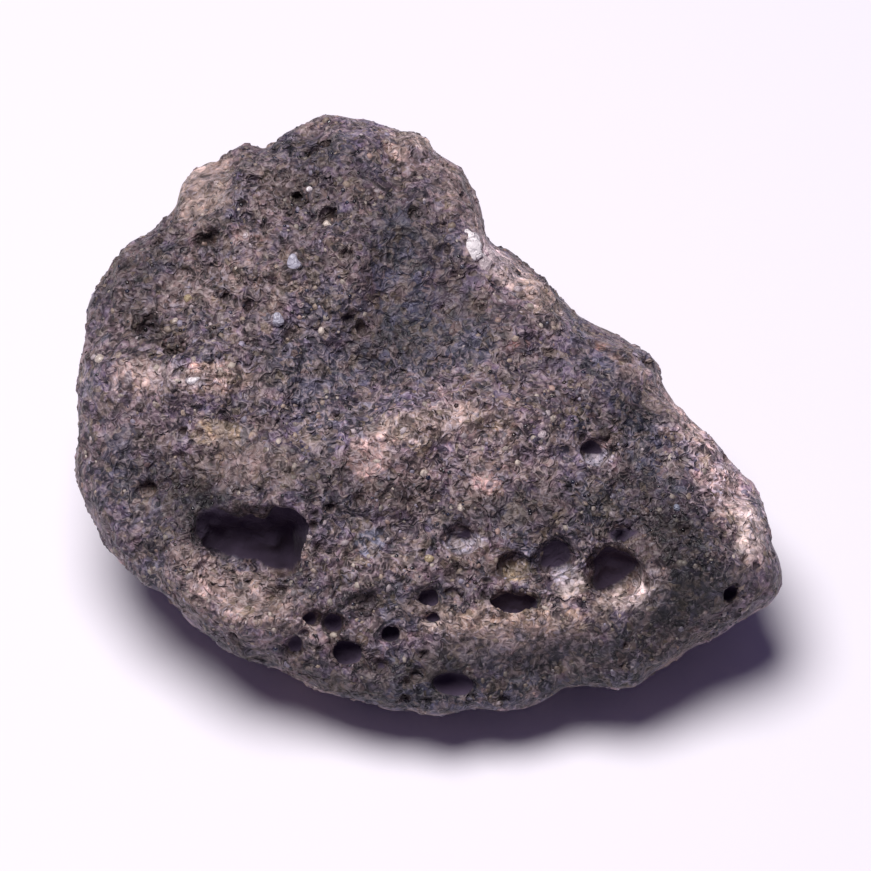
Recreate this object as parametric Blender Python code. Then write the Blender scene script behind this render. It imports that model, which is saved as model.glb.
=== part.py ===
"""Impact glass: one lump of grey, bubbly melt rock, about 50 mm across, in one piece.

The stone is shaped lying on its back, with X across its broad face, Y up the face and Z out of it.
It is then tipped up onto its underside, the way it lies, and is worn flat where it rests.
Sizes in the tables are millimetres and degrees.
"""

import math
import random

import bmesh
import bpy
from mathutils import Matrix, Vector, noise
from mathutils.bvhtree import BVHTree

MM = 0.001

# Driving dimensions, in millimetres and degrees.
TIP = 40.0  # how far the face is tipped up from lying flat
MIDDLE = (-2.0, -1.0)  # the point of the face that the outline is measured from
CROWN_HEIGHT = 7.6  # how far the face swells out over the rim
BASE_DEPTH = 13.2  # how far the hidden side reaches in behind the rim
BASE_DEEPENS = 0.10  # the base's extra depth for each millimetre up the face
RIM_SLOPE = -0.28  # the rim's height for each millimetre up the face
CROWN_SQUARENESS = 2.6  # 2 is an ellipse, and more is a flatter top with steeper sides
BASE_SQUARENESS = 2.3
BLANK_SUBDIVISIONS = 6  # of the ball that the blank is pushed out from
FOOT_CUT = 1.5  # how much of the lowest point is worn away to give the flat foot
LUMPS = ((8.5, 1.5), (4.0, 0.9), (2.0, 0.35))  # the spacing and the height of the small lumps
BASE_LUMP = (14.0, 3.4)  # the same for the large lumps of the base
RIM_CALM = 0.35  # the share of the lumps that is left at the rim
SMOOTHINGS = 2  # rounds of evening out that the blank gets before its lumps
STONE_COLOUR = (0.085, 0.078, 0.09, 1)
STONE_ROUGHNESS = 0.62

# The face's outline, clockwise from its highest point.
OUTLINE = (
    (-7.1, 21.6), (-4.4, 20.9), (-0.7, 20.0), (1.1, 18.5), (2.4, 17.7), (2.9, 16.1), (3.6, 15.1),
    (4.1, 14.0), (3.0, 12.7), (5.0, 11.8), (6.0, 11.1), (6.6, 10.1), (8.8, 9.4), (9.9, 8.5),
    (11.7, 7.0), (13.3, 6.2), (15.2, 5.0), (16.6, 3.7), (16.8, 2.1), (18.2, 0.4), (20.0, -1.8),
    (21.4, -3.0), (22.3, -4.4), (23.6, -5.9), (24.3, -7.5), (24.3, -8.9), (25.3, -11.5), (25.3, -12.4),
    (24.3, -13.7), (22.1, -14.7), (19.9, -16.2), (16.2, -18.1), (14.2, -19.2), (12.6, -18.8),
    (10.8, -18.8), (9.1, -19.2), (8.0, -20.2), (5.5, -20.8), (3.7, -20.6), (0.9, -21.2), (-2.9, -20.8),
    (-6.7, -19.4), (-10.3, -18.1), (-14.1, -16.6), (-17.4, -14.4), (-20.0, -12.4), (-23.1, -9.5),
    (-24.7, -6.1), (-25.4, -3.0), (-24.8, 1.2), (-24.9, 4.6), (-24.1, 8.0), (-22.6, 11.1),
    (-21.8, 12.6), (-19.8, 13.5), (-19.0, 14.5), (-17.8, 14.4), (-18.3, 16.4), (-17.1, 18.3),
    (-14.9, 18.5), (-13.5, 20.1), (-12.4, 18.8), (-11.5, 18.7), (-10.5, 19.9), (-8.2, 21.2),
)

# Broad swells (+) and dips (-) of the face: middle x, y, half length, half width, turn in degrees, height.
SWELLS = (
    (-2.0, 6.1, 9.5, 5.0, 28, -2.2),  # the valley that runs in from the notch
    (-12.7, 11.8, 6.5, 5.0, 20, 0.9),
    (-5.6, 17.6, 5.0, 3.5, 0, 1.3),  # the top hump
    (1.2, 15.8, 3.2, 3.6, 60, 1.0),  # the lobe over the notch
    (2.0, -0.6, 10.0, 3.4, 8, 1.3),  # the crest across the middle
    (-18.4, 2.6, 5.5, 2.6, 0, 1.1),
    (-19.6, 5.9, 3.6, 2.2, -20, -1.3),
    (-17.5, -4.0, 6.0, 2.6, 5, -0.7),
    (-13.0, -14.8, 6.5, 2.8, -22, 1.3),  # the lip under the big hollow
    (-3.4, -15.6, 8.0, 2.4, -5, -1.0),
    (15.6, -1.6, 4.5, 6.0, -30, -1.1),
    (21.4, -10.9, 4.5, 2.6, -20, 0.9),  # the nose
    (6.0, -14.2, 9.0, 2.2, 4, 0.8),
)

# The same for the hidden base, where + reaches farther in behind the rim.
BASE_SWELLS = (
    (-9.5, -2.0, 8.0, 6.5, 0, 1.9),
    (-13.0, 9.0, 6.0, 5.0, 30, -1.2),
    (9.0, -9.0, 5.0, 4.0, 0, -1.3),
    (9.0, 3.0, 7.0, 3.5, -40, -1.4),
    (-2.0, 12.0, 5.0, 6.0, 0, 1.2),
)

# Ledges of the face: middle x, y, half length, turn in degrees, drop on the lower side, width of the step.
LEDGES = (
    (0.0, -15.4, 17.0, -3, 1.0, 1.1),  # along the front, over the steep lower band
    (4.0, -2.6, 10.0, 6, 0.8, 1.4),  # under the crest
    (-18.0, 1.2, 6.0, 4, 0.7, 0.9),
    (-4.0, 9.6, 8.0, 27, 0.35, 2.2),  # from the top hump down into the valley
    (8.5, -15.8, 6.0, 30, 0.6, 0.8),
    (-12.0, 15.2, 5.0, 15, 0.6, 0.8),
    (-14.7, 16.6, 3.2, -128, 3.8, 0.4),  # the pale lobe at the upper left lies lower than the hump
)

# Gas bubbles cut open on the face: middle x, y, half length, half width, turn in degrees, depth.
FACE_BUBBLES = (
    (-10.3, -8.7, 1.9, 2.4, 0, 6.0),  # the big hollow: its deep end,
    (-14.7, -7.9, 2.2, 1.6, -6, 5.0),  # its long end,
    (-12.5, -8.6, 2.8, 2.1, -8, 5.6),  # the middle that joins them
    (-13.0, -11.4, 4.1, 2.3, -18, 1.9),  # and the floor, which runs out to the lip
    (13.0, -10.7, 2.0, 1.8, 0, 4.2),
    (14.0, -11.8, 1.9, 1.2, 25, 1.5),  # its floor on the lower side
    (13.5, -8.1, 0.6, 0.75, 0, 1.8),
    (8.9, -9.7, 1.8, 1.15, 20, 2.6),
    (9.6, -11.4, 1.8, 1.1, 32, 1.0),
    (6.1, -12.9, 1.8, 0.95, 0, 2.9),
    (6.1, -10.4, 1.15, 1.0, 0, 1.5),
    (2.4, -8.4, 1.5, 1.4, 0, 2.1),
    (11.9, -2.5, 1.25, 1.15, 0, 1.9),
    (21.3, -12.4, 0.65, 0.65, 0, 1.7),
    (-0.2, -12.7, 1.05, 0.7, 0, 1.7),
    (2.0, -12.6, 0.7, 0.8, 0, 1.1),
    (0.2, -14.2, 0.95, 0.55, 0, 1.4),
    (-8.2, -14.1, 0.95, 0.65, 0, 1.6),
    (-6.6, -14.5, 0.95, 0.65, -20, 1.6),
    (-2.6, -15.2, 0.75, 0.6, 0, 1.9),
    (-5.6, -16.6, 0.95, 0.75, -10, 2.4),
    (-9.4, -16.3, 0.75, 0.9, 0, 1.4),
    (-3.5, -17.4, 0.95, 0.5, -15, 1.3),
    (-0.6, -18.1, 0.6, 0.5, 0, 1.3),
    (1.8, -18.8, 1.65, 0.85, -8, 2.0),
    (-4.6, -13.0, 1.0, 0.55, 0, 0.9),
    (-19.8, -5.1, 0.8, 0.6, 10, 1.3),
    (-20.0, 6.3, 1.3, 0.8, -15, 1.5),
    (-17.9, 4.8, 1.3, 0.7, -50, 1.4),
    (-15.8, 12.8, 1.2, 0.65, 10, 1.4),
    (-8.2, 19.3, 1.2, 0.65, 10, 1.5),
    (-9.9, 18.7, 0.65, 0.6, 0, 0.7),
    (-12.3, 17.3, 0.9, 0.7, 0, 1.5),
    (-9.4, 15.6, 0.65, 0.55, 0, 0.9),
    (-7.2, 14.3, 0.75, 0.65, 0, 1.0),
    (-8.4, 16.9, 0.85, 0.4, 0, 0.8),
    (1.1, 13.4, 0.6, 0.5, 0, 0.8),
    (-6.4, -0.1, 0.9, 0.4, 8, 0.8),
    (2.9, -4.4, 0.6, 0.45, 0, 0.8),
)

# Bubbles on the sides and on the hidden base, scattered by a seeded draw.
HIDDEN_BUBBLES = 34
HIDDEN_SEED = 7
HIDDEN_SIZES = (0.6, 2.1)  # the smallest and the largest half length
HIDDEN_RISE = 0.4  # a spot is hidden where it lies less than this in front of the rim
FOOT_CLEARANCE = 1.2  # how far above the ground a hidden bubble ends
BUBBLE_SPACING = 1.15  # how far apart two hidden bubbles lie, as a share of their half lengths

BUBBLE_SINK = 0.22  # how far a bubble's middle lies under the surface, as a share of its depth
BUBBLE_LUMPS = 0.16  # how uneven a bubble's wall is, as a share of its size
LARGE_BUBBLE = 1.5  # bubbles from this half length on get a finer wall
TRIANGLE_SHARE = 0.31  # the share of the cut stone's triangles that is kept
FAR = 80.0  # farther out than any point of the stone


def clear_scene():
    """Removes whatever the startup file holds."""
    for obj in list(bpy.data.objects):
        bpy.data.objects.remove(obj)


def new_collection(name):
    """A collection of that name in the scene."""
    collection = bpy.data.collections.new(name)
    bpy.context.scene.collection.children.link(collection)
    return collection


def new_object(name, shape, collection):
    """An object made from a shape in millimetres, which is used up."""
    shape.transform(Matrix.Scale(MM, 4))
    mesh = bpy.data.meshes.new(name)
    shape.to_mesh(mesh)
    shape.free()
    obj = bpy.data.objects.new(name, mesh)
    collection.objects.link(obj)
    return obj


def rim_radius(angle):
    """How far the outline lies from MIDDLE in one direction of the face."""
    ray = Vector((math.cos(angle), math.sin(angle)))
    middle = Vector(MIDDLE)
    for start, end in zip(OUTLINE, OUTLINE[1:] + OUTLINE[:1]):
        a = Vector(start) - middle
        b = Vector(end) - middle
        if a.cross(ray) <= 0 and ray.cross(b) <= 0 and a.dot(ray) > 0:
            chord = b - a
            return a.cross(chord) / ray.cross(chord)
    raise ValueError("the outline doesn't go all the way round its middle")


def swell_at(x, y, swells):
    """The sum of some swells and dips at one spot, each fading like a bell."""
    total = 0.0
    for middle_x, middle_y, half_length, half_width, turn, height in swells:
        away = Matrix.Rotation(math.radians(-turn), 2) @ Vector((x - middle_x, y - middle_y))
        total += height * math.exp(-((away.x / half_length) ** 2) - (away.y / half_width) ** 2)
    return total


def ledge_at(x, y):
    """How far the face has dropped at one spot, over all of its ledges."""
    total = 0.0
    for middle_x, middle_y, half_length, turn, drop, width in LEDGES:
        away = Matrix.Rotation(math.radians(-turn), 2) @ Vector((x - middle_x, y - middle_y))
        step = (1 - math.tanh(away.y / width)) / 2
        total += drop * step * math.exp(-((away.x / half_length) ** 4))
    return total


def stone_point(direction):
    """Where the blank's surface lies in one direction from its middle."""
    level = math.hypot(direction.x, direction.y)
    squareness = CROWN_SQUARENESS if direction.z > 0 else BASE_SQUARENESS
    stretch = (level**squareness + abs(direction.z) ** squareness) ** (1 / squareness)
    out = level / stretch
    rise = direction.z / stretch
    angle = math.atan2(direction.y, direction.x)
    radius = rim_radius(angle) * out
    x = MIDDLE[0] + radius * math.cos(angle)
    y = MIDDLE[1] + radius * math.sin(angle)
    if rise > 0:
        thickness = CROWN_HEIGHT + swell_at(x, y, SWELLS) - ledge_at(x, y)
    else:
        thickness = BASE_DEPTH + BASE_DEEPENS * y + swell_at(x, y, BASE_SWELLS)
    return Vector((x, y, RIM_SLOPE * y + thickness * rise))


def lump_at(point, rise):
    """The height of the lumps at a point of the surface: less at the rim, and more under the base."""
    height = sum(tallest * noise.noise(point / spacing) for spacing, tallest in LUMPS)
    height *= RIM_CALM + (1 - RIM_CALM) * abs(rise)
    if rise < 0:
        spacing, tallest = BASE_LUMP
        height -= tallest * noise.noise(point / spacing) * rise
    return height


def make_blank():
    """The stone before its bubbles are cut: a ball pushed out to the outline, the crown and the base."""
    shape = bmesh.new()
    bmesh.ops.create_icosphere(shape, subdivisions=BLANK_SUBDIVISIONS, radius=1)
    rises = [vert.co.z for vert in shape.verts]
    for vert in shape.verts:
        vert.co = stone_point(vert.co)
    for _ in range(SMOOTHINGS):
        bmesh.ops.smooth_vert(
            shape, verts=shape.verts[:], factor=0.5, use_axis_x=True, use_axis_y=True, use_axis_z=True
        )
    shape.normal_update()
    moves = [vert.normal * lump_at(vert.co, rise) for vert, rise in zip(shape.verts, rises)]
    for vert, move in zip(shape.verts, moves):
        vert.co += move
    return shape


def stand_up(shape):
    """Tips the blank up the way it lies and centres it over the origin, with FOOT_CUT of it under the ground."""
    tipped = Matrix.Rotation(math.radians(TIP), 4, "X")
    shape.transform(tipped)
    xs, ys, zs = zip(*(vert.co for vert in shape.verts))
    centre = Vector(((min(xs) + max(xs)) / 2, (min(ys) + max(ys)) / 2, min(zs) + FOOT_CUT))
    moved = Matrix.Translation(-centre)
    shape.transform(moved)
    return moved @ tipped


def new_cutter(name, shape, collection):
    """An object that only cuts others, so it isn't rendered."""
    cutter = new_object(name, shape, collection)
    cutter.hide_render = True
    cutter.display_type = "WIRE"
    return cutter


def make_ground(collection):
    """The block that wears the foot flat."""
    shape = bmesh.new()
    bmesh.ops.create_cube(shape, size=FAR)
    bmesh.ops.translate(shape, verts=shape.verts[:], vec=(0, 0, -FAR / 2))
    return new_cutter("ground", shape, collection)


def cut_bubble(number, spot, axis, along, sizes, collection):
    """One bubble's cutter: sizes are its half length along `along`, half width and depth down `axis`."""
    half_length, half_width, depth = sizes
    fine = half_length >= LARGE_BUBBLE
    shape = bmesh.new()
    bmesh.ops.create_icosphere(shape, subdivisions=3 if fine else 2, radius=1)
    for vert in shape.verts:
        vert.co *= 1 + BUBBLE_LUMPS * noise.noise(vert.co * 1.7 + Vector((number, 0, 0)))
    across = axis.cross(along).normalized()
    turned = Matrix((across.cross(axis), across, axis)).transposed().to_4x4()
    half_depth = depth * (1 - BUBBLE_SINK)
    shape.transform(Matrix.Diagonal((half_length, half_width, half_depth, 1)))
    shape.transform(Matrix.Translation(spot - axis * depth * BUBBLE_SINK) @ turned)
    return new_cutter(f"bubble_{number:02d}", shape, collection)


def cut_face_bubbles(surface, standing, collection):
    """The face's bubbles, each sunk half along its own normal and half straight into the face."""
    outward = standing.to_3x3() @ Vector((0, 0, 1))
    for number, (x, y, half_length, half_width, turn, depth) in enumerate(FACE_BUBBLES):
        start = standing @ Vector((x, y, FAR))
        spot, normal, _, _ = surface.ray_cast(start, -outward)
        turned = math.radians(turn)
        along = standing.to_3x3() @ Vector((math.cos(turned), math.sin(turned), 0))
        axis = (normal + outward).normalized()
        cut_bubble(number, spot, axis, along, (half_length, half_width, depth), collection)


def cut_hidden_bubbles(surface, standing, collection):
    """Bubbles scattered over the sides and the base, many small ones and a few large ones."""
    middle = standing @ Vector((*MIDDLE, 0))
    lying = standing.inverted()
    draw = random.Random(HIDDEN_SEED)
    placed = []
    smallest, largest = HIDDEN_SIZES
    while len(placed) < HIDDEN_BUBBLES:
        direction = Vector((draw.gauss(0, 1), draw.gauss(0, 1), draw.gauss(0, 1))).normalized()
        half_length = smallest + (largest - smallest) * draw.random() ** 3
        slimness = draw.uniform(0.6, 0.95)
        depth = half_length * draw.uniform(0.8, 1.3)
        along = Vector((draw.gauss(0, 1), draw.gauss(0, 1), draw.gauss(0, 1)))
        spot, normal, _, _ = surface.ray_cast(middle + direction * FAR, -direction)
        face_spot = lying @ spot
        shown = face_spot.z > RIM_SLOPE * face_spot.y + HIDDEN_RISE
        low = spot.z - half_length < FOOT_CLEARANCE
        near = any(
            (spot - other).length < BUBBLE_SPACING * (half_length + size) for other, size in placed
        )
        if shown or low or near:
            continue
        sizes = (half_length, half_length * slimness, depth)
        cut_bubble(len(FACE_BUBBLES) + len(placed), spot, normal, along, sizes, collection)
        placed.append((spot, half_length))


def melt_rock():
    """The material: dark grey, slightly purple glass, rough from its grains."""
    material = bpy.data.materials.new("melt_rock")
    material.use_nodes = True
    shader = material.node_tree.nodes["Principled BSDF"]
    shader.inputs["Base Color"].default_value = STONE_COLOUR
    shader.inputs["Roughness"].default_value = STONE_ROUGHNESS
    shader.inputs["Metallic"].default_value = 0.0
    return material


def main():
    clear_scene()
    parts = new_collection("Impact glass")
    cutters = new_collection("Cutters")
    bubbles = new_collection("Bubbles")
    blank = make_blank()
    standing = stand_up(blank)
    surface = BVHTree.FromBMesh(blank)
    cut_face_bubbles(surface, standing, bubbles)
    cut_hidden_bubbles(surface, standing, bubbles)
    stone = new_object("stone", blank, parts)
    stone.data.materials.append(melt_rock())
    opened = stone.modifiers.new("Bubbles", "BOOLEAN")
    opened.operation = "DIFFERENCE"
    opened.operand_type = "COLLECTION"
    opened.collection = bubbles
    opened.solver = "EXACT"
    thinned = stone.modifiers.new("Thinned", "DECIMATE")
    thinned.ratio = TRIANGLE_SHARE
    worn = stone.modifiers.new("Foot", "BOOLEAN")
    worn.operation = "DIFFERENCE"
    worn.object = make_ground(cutters)
    worn.solver = "EXACT"


main()
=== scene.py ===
import math
import random

import bmesh
import bpy
from mathutils import Matrix, Vector, noise
from mathutils.bvhtree import BVHTree
from mathutils.kdtree import KDTree


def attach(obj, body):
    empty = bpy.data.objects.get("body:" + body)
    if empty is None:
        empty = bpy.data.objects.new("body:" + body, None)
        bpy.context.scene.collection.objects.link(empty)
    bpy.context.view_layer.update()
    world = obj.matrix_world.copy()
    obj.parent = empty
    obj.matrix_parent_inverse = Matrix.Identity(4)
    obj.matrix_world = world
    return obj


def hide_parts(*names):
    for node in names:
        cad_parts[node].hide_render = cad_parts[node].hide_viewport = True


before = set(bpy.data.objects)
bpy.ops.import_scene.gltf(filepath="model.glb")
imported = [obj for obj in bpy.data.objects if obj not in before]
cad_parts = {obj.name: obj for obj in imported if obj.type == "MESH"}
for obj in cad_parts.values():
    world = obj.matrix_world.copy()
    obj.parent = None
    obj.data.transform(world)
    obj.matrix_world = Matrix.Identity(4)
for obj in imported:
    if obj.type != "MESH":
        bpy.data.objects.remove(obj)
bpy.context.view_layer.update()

mm = 0.001

# The broad face lies tipped up. Places on it are x across, y up the face and z out of it, in mm
face = {
    "tip": 40.0,
    "origin": (-0.007, -1.167, 13.132),  # where the face is measured from, in mm in the row's frame
    "rimSlope": -0.28,  # the rim's z for each mm up the face
    "above": 60.0,  # rays into the face start this far out of it
}
faceToRow = Matrix.Translation(face["origin"]) @ Matrix.Rotation(math.radians(face["tip"]), 4, "X")
rowToFace = faceToRow.inverted()
faceOut = faceToRow.to_3x3() @ Vector((0, 0, 1))


def facePoint(x, y, z=0.0):
    return (faceToRow @ Vector((x, y, z))) * mm


def landOn(surface, x, y):
    # Where a ray straight into the face meets a surface, and the normal there
    spot, normal, _, _ = surface.ray_cast(facePoint(x, y, face["above"]), -faceOut)
    return spot, normal


def smoothStep(low, high, value):
    share = min(1.0, max(0.0, (value - low) / (high - low)))
    return share * share * (3 - 2 * share)


def newObject(name, bm, material):
    mesh = bpy.data.meshes.new(name)
    bm.to_mesh(mesh)
    bm.free()
    mesh.shade_smooth()
    mesh.materials.append(material)
    piece = bpy.data.objects.new(name, mesh)
    bpy.context.scene.collection.objects.link(piece)
    return piece


# Camera, floor and light
stage = {
    "aim": (0.54, -1.46),  # the place on the face that the camera looks at
    "elevation": 50.0,
    "distance": 450.0,  # of the camera, in mm
    "width": 62.2,  # of the view at the aim, in mm
    "sensor": 36,
    "floorSize": 3.0,  # in metres, as the lamp's sizes are
    "floorColor": (0.905, 0.875, 0.925, 1),
    "lampFrom": (-0.18, 0.0, 1.0),
    "lampDistance": 0.6,
    "lampSize": 0.37,
    "lampPower": 4.25,
    "lampColor": (1.0, 0.97, 0.98),
    "skyColor": (0.46, 0.37, 0.88, 1),
    "skyStrength": 0.105,
    "backdropColor": (0.94, 0.92, 0.97, 1),
}


def addCamera():
    camera = bpy.data.objects.new("camera", bpy.data.cameras.new("camera"))
    bpy.context.scene.collection.objects.link(camera)
    rise = math.radians(stage["elevation"])
    back = Vector((0, -math.cos(rise), math.sin(rise)))
    camera.location = facePoint(*stage["aim"]) + back * stage["distance"] * mm
    camera.rotation_euler = back.to_track_quat("Z", "Y").to_euler()
    camera.data.sensor_width = stage["sensor"]
    camera.data.lens = stage["sensor"] * stage["distance"] / stage["width"]
    camera.data.clip_start = 0.01
    bpy.context.scene.camera = camera


def addFloor():
    paper = bpy.data.materials.new("paper")
    paper.use_nodes = True
    shader = paper.node_tree.nodes["Principled BSDF"]
    shader.inputs["Base Color"].default_value = stage["floorColor"]
    shader.inputs["Roughness"].default_value = 0.95
    shader.inputs["Specular IOR Level"].default_value = 0.1
    bm = bmesh.new()
    bmesh.ops.create_grid(bm, x_segments=2, y_segments=2, size=stage["floorSize"] / 2)
    newObject("floor", bm, paper)


def addLight():
    lamp = bpy.data.lights.new("softbox", "AREA")
    lamp.shape = "DISK"
    lamp.size = stage["lampSize"]
    lamp.energy = stage["lampPower"]
    lamp.color = stage["lampColor"]
    softbox = bpy.data.objects.new("softbox", lamp)
    bpy.context.scene.collection.objects.link(softbox)
    towards = Vector(stage["lampFrom"]).normalized()
    softbox.location = towards * stage["lampDistance"]
    softbox.rotation_euler = towards.to_track_quat("Z", "Y").to_euler()
    # The sky fills the shadows with a weak violet, and the camera sees a pale backdrop instead
    world = bpy.data.worlds.new("studio")
    world.use_nodes = True
    bpy.context.scene.world = world
    tree = world.node_tree
    sky = tree.nodes["Background"]
    sky.inputs["Color"].default_value = stage["skyColor"]
    sky.inputs["Strength"].default_value = stage["skyStrength"]
    backdrop = addNode(tree, "Background", {"Color": stage["backdropColor"]})
    rays = addNode(tree, "LightPath")
    seen = rays.outputs["Is Camera Ray"]
    choice = addNode(tree, "MixShader", {0: seen, 1: sky.outputs[0], 2: backdrop.outputs[0]})
    tree.links.new(choice.outputs[0], tree.nodes["World Output"].inputs["Surface"])
    bpy.context.scene.view_settings.view_transform = "Standard"


# Node helpers
def fillInputs(tree, node, inputs):
    for name, value in (inputs or {}).items():
        if isinstance(value, bpy.types.NodeSocket):
            tree.links.new(value, node.inputs[name])
        else:
            node.inputs[name].default_value = value


def addNode(tree, kind, inputs=None, **settings):
    node = tree.nodes.new("ShaderNode" + kind)
    for name, value in settings.items():
        setattr(node, name, value)
    fillInputs(tree, node, inputs)
    return node


def maths(tree, operation, first, second=0.0, clamp=False):
    node = addNode(tree, "Math", {0: first, 1: second}, operation=operation, use_clamp=clamp)
    return node.outputs[0]


def times(tree, first, second):
    return maths(tree, "MULTIPLY", first, second)


def channels(tree, color):
    return addNode(tree, "SeparateColor", {0: color}).outputs


def grey(tree, value, green=None):
    # A colour of the same share in every channel, or with its own green
    if green is None:
        green = value
    return addNode(tree, "CombineXYZ", {0: value, 1: green, 2: value}).outputs[0]


def noiseOf(tree, vector, scale, detail, roughness=0.5):
    # Blender's own noise, by its value and its colour
    inputs = {"Vector": vector, "Scale": scale, "Detail": detail, "Roughness": roughness}
    return addNode(tree, "TexNoise", inputs).outputs


def mixColors(tree, factor, first, second, blend="MIX"):
    node = addNode(tree, "Mix", {0: factor, 6: first, 7: second}, data_type="RGBA", blend_type=blend)
    return node.outputs[2]


def rampBetween(tree, value, low, high):
    # 0 under low, 1 over high, smooth in between
    node = addNode(tree, "MapRange", {"Value": value, "From Min": low, "From Max": high})
    node.interpolation_type = "SMOOTHSTEP"
    return node.outputs[0]


def stretch(tree, value, old, new):
    # The old range becomes the new one
    inputs = {"Value": value, "From Min": old[0], "From Max": old[1], "To Min": new[0], "To Max": new[1]}
    return addNode(tree, "MapRange", inputs).outputs[0]


def colorRamp(tree, value, stops):
    node = addNode(tree, "ValToRGB", {"Fac": value})
    while len(node.color_ramp.elements) < len(stops):
        node.color_ramp.elements.new(0.5)
    for element, (place, color) in zip(node.color_ramp.elements, stops):
        element.position = place
        element.color = (*color, 1)
    return node.outputs["Color"]


def newGroup(name, inputs, outputs):
    group = bpy.data.node_groups.new(name, "ShaderNodeTree")
    for title, kind, value in inputs:
        socket = group.interface.new_socket(title, in_out="INPUT", socket_type=kind)
        if value is not None:
            socket.default_value = value
    for title, kind in outputs:
        group.interface.new_socket(title, in_out="OUTPUT", socket_type=kind)
    entry = group.nodes.new("NodeGroupInput")
    result = group.nodes.new("NodeGroupOutput")
    return group, entry.outputs, result.inputs


def useGroup(tree, group, inputs=None):
    node = tree.nodes.new("ShaderNodeGroup")
    node.node_tree = group
    fillInputs(tree, node, inputs)
    return node.outputs


def newMaterial(name):
    # A material, its nodes and shader, and places on the piece in mm
    material = bpy.data.materials.new(name)
    material.use_nodes = True
    tree = material.node_tree
    where = addNode(tree, "TexCoord").outputs["Object"]
    place = addNode(tree, "Mapping", {"Vector": where, "Scale": (1000, 1000, 1000)}).outputs[0]
    return material, tree, tree.nodes["Principled BSDF"], place


# Melt crumb: curled bands, pale and dark by turns, which run round flakes of many tints
crumbLook = {
    "size": 1.0,  # of one curl, in mm
    "bands": 6.0,  # in the noise that they follow
    "warp": (1.6, 0.7),  # how close the bends are, and how strong
    "breaks": 2.6,  # how close the gaps in the bands are
    "pale": (0.22, 0.40, 0.42, 0.53),  # where a pale band and its gaps start and are full
    "dark": (0.26, 0.06, 0.44, 0.56),
    "flakes": (2.2, 0.25),  # how close they are, and how soft their edges
    "relief": 0.10,  # of the bands on the lumps
}


def makeCrumbGroup():
    tree, given, made = newGroup(
        "crumb",
        [
            ("Vector", "NodeSocketVector", None),
            ("Size", "NodeSocketFloat", crumbLook["size"]),
            ("Bands", "NodeSocketFloat", crumbLook["bands"]),
        ],
        [
            ("Pale", "NodeSocketFloat"),
            ("Dark", "NodeSocketFloat"),
            ("Flake", "NodeSocketColor"),
            ("Height", "NodeSocketFloat"),
        ],
    )
    scaled = addNode(tree, "VectorMath", {0: given["Vector"]}, operation="SCALE")
    tree.links.new(maths(tree, "DIVIDE", 1.0, given["Size"]), scaled.inputs["Scale"])
    vector = scaled.outputs[0]
    closeness, strength = crumbLook["warp"]
    warp = noiseOf(tree, vector, closeness, 0.0)["Color"]
    inputs = {0: warp, 1: (strength, strength, strength), 2: vector}
    bent = addNode(tree, "VectorMath", inputs, operation="MULTIPLY_ADD").outputs[0]
    waves = noiseOf(tree, bent, 1.0, 1.0, 0.4)["Fac"]
    bands = maths(tree, "PINGPONG", times(tree, waves, given["Bands"]), 0.5)
    breaks = channels(tree, noiseOf(tree, vector, crumbLook["breaks"], 1.0)["Color"])
    low, high, gap, whole = crumbLook["pale"]
    pale = times(tree, rampBetween(tree, bands, low, high), rampBetween(tree, breaks[0], gap, whole))
    low, high, gap, whole = crumbLook["dark"]
    dark = times(tree, rampBetween(tree, bands, low, high), rampBetween(tree, breaks[1], gap, whole))
    closeness, softness = crumbLook["flakes"]
    inputs = {"Vector": bent, "Scale": closeness, "Smoothness": softness}
    flakes = addNode(tree, "TexVoronoi", inputs, feature="SMOOTH_F1")
    tree.links.new(pale, made["Pale"])
    tree.links.new(dark, made["Dark"])
    tree.links.new(flakes.outputs["Color"], made["Flake"])
    strokes = times(tree, maths(tree, "SUBTRACT", pale, dark), crumbLook["relief"])
    tree.links.new(maths(tree, "ADD", waves, strokes), made["Height"])
    return tree


# The colours of the melt and of what is caught in it
tints = {
    "charcoal": (0.035, 0.030, 0.038),
    "slate": (0.082, 0.078, 0.110),
    "blueSlate": (0.076, 0.078, 0.122),
    "violetGrey": (0.138, 0.106, 0.150),
    "mauve": (0.178, 0.128, 0.150),
    "brownGrey": (0.200, 0.143, 0.135),
    "taupe": (0.270, 0.200, 0.180),
    "lobe": (0.430, 0.335, 0.275),
    "beige": (0.470, 0.360, 0.285),
    "yellowBeige": (0.420, 0.330, 0.200),
    "pinkBeige": (0.520, 0.350, 0.300),
    "paleTan": (0.500, 0.375, 0.320),
    "tan": (0.450, 0.330, 0.240),
    "peach": (0.600, 0.430, 0.350),
    "rose": (0.580, 0.400, 0.350),
    "rust": (0.330, 0.150, 0.100),
    "cream": (0.580, 0.490, 0.420),
    "blueGrey": (0.230, 0.245, 0.310),
    "blueWhite": (0.480, 0.470, 0.540),
    "blueGlass": (0.410, 0.395, 0.470),
    "lilac": (0.400, 0.350, 0.440),
    "navy": (0.030, 0.032, 0.075),
    "white": (0.900, 0.840, 0.840),
    "pinkWhite": (0.560, 0.470, 0.480),
    # bark is the dark of some strokes, and also the painted shade in hollows
    "bark": (0.055, 0.036, 0.034),
    # the colour of the painted shade inside the deeper bubbles
    "bubbleShade": (0.066, 0.047, 0.080),
}


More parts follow.
